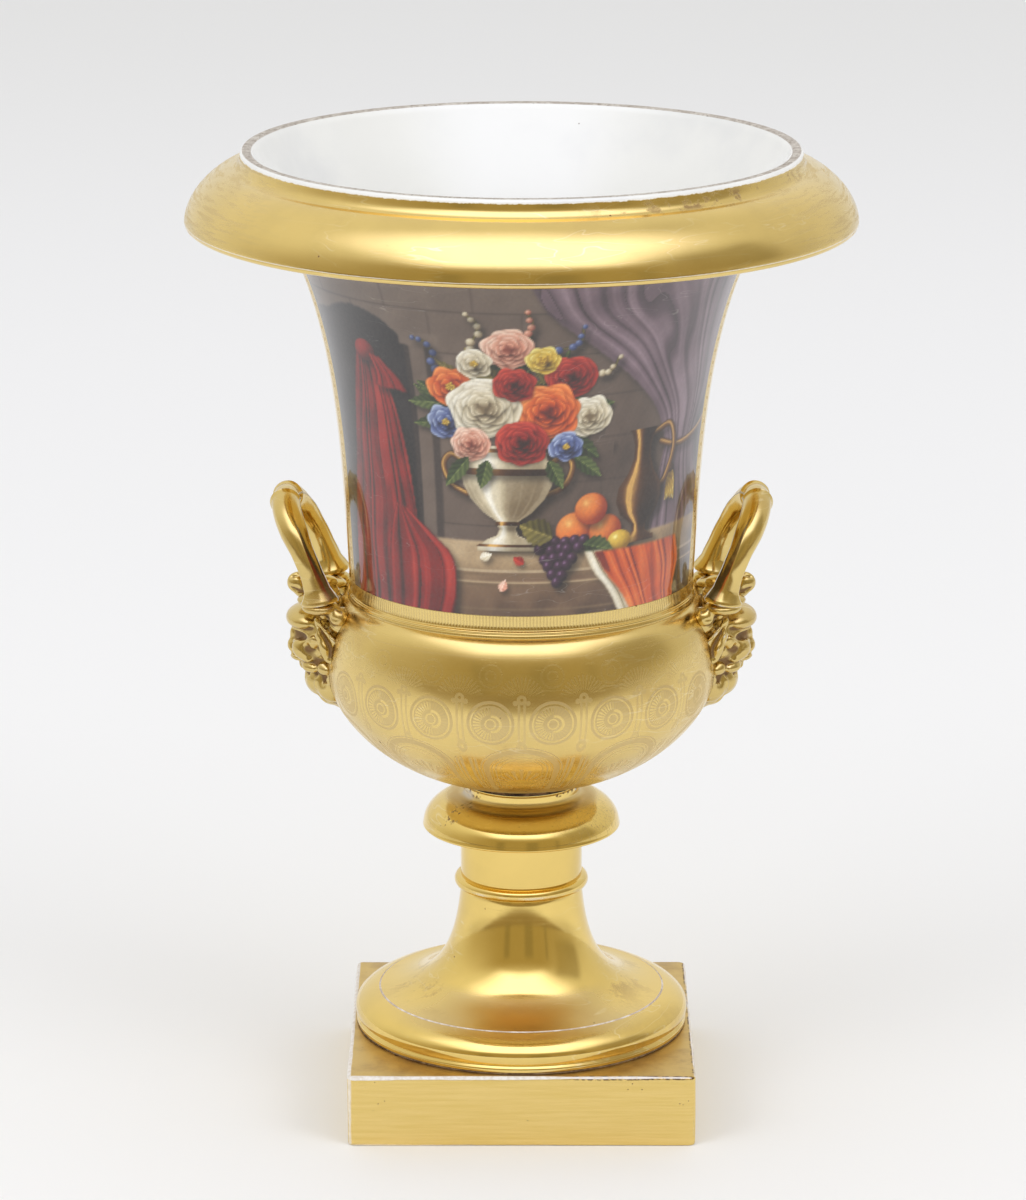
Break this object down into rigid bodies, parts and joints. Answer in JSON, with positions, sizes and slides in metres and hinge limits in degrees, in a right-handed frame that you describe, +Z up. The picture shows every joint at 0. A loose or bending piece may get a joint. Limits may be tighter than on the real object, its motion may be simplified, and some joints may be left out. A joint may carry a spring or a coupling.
{
  "type": "campana vase",
  "caption": "Campana vase with a drooping lip and two upright loop handles on masks, bolted through a turned pedestal to a square plinth.",
  "frame": {"origin": "centre of the plinth's underside", "axes": "+Z up, handles at -X and +X, painted panel towards -Y"},
  "size_m": [0.2904, 0.2904, 0.428],
  "materials": {
    "painted_porcelain": "burnished gold outside with a painted and glazed panel on the front, white glaze inside",
    "gilded_porcelain": "burnished gold over porcelain, worn to white along the edges",
    "plaster": "matt plaster, darkened with age",
    "leather": "dry sole leather",
    "brass": "dull turned brass",
    "iron": "dark iron with light rust"
  },
  "bodies": {
    "root": {"vase_body": "painted_porcelain", "handle_left": "gilded_porcelain", "handle_right": "gilded_porcelain", "mask_left": "gilded_porcelain", "mask_right": "gilded_porcelain", "pedestal": "gilded_porcelain", "plinth": "gilded_porcelain", "foot_bedding": "plaster", "bowl_bedding": "plaster", "bowl_gasket": "leather", "foot_gasket": "leather", "bowl_washer": "brass", "bowl_nut": "brass", "foot_washer": "iron", "foot_nut": "iron", "tie_rod": "iron"}
  },
  "joints": []
}
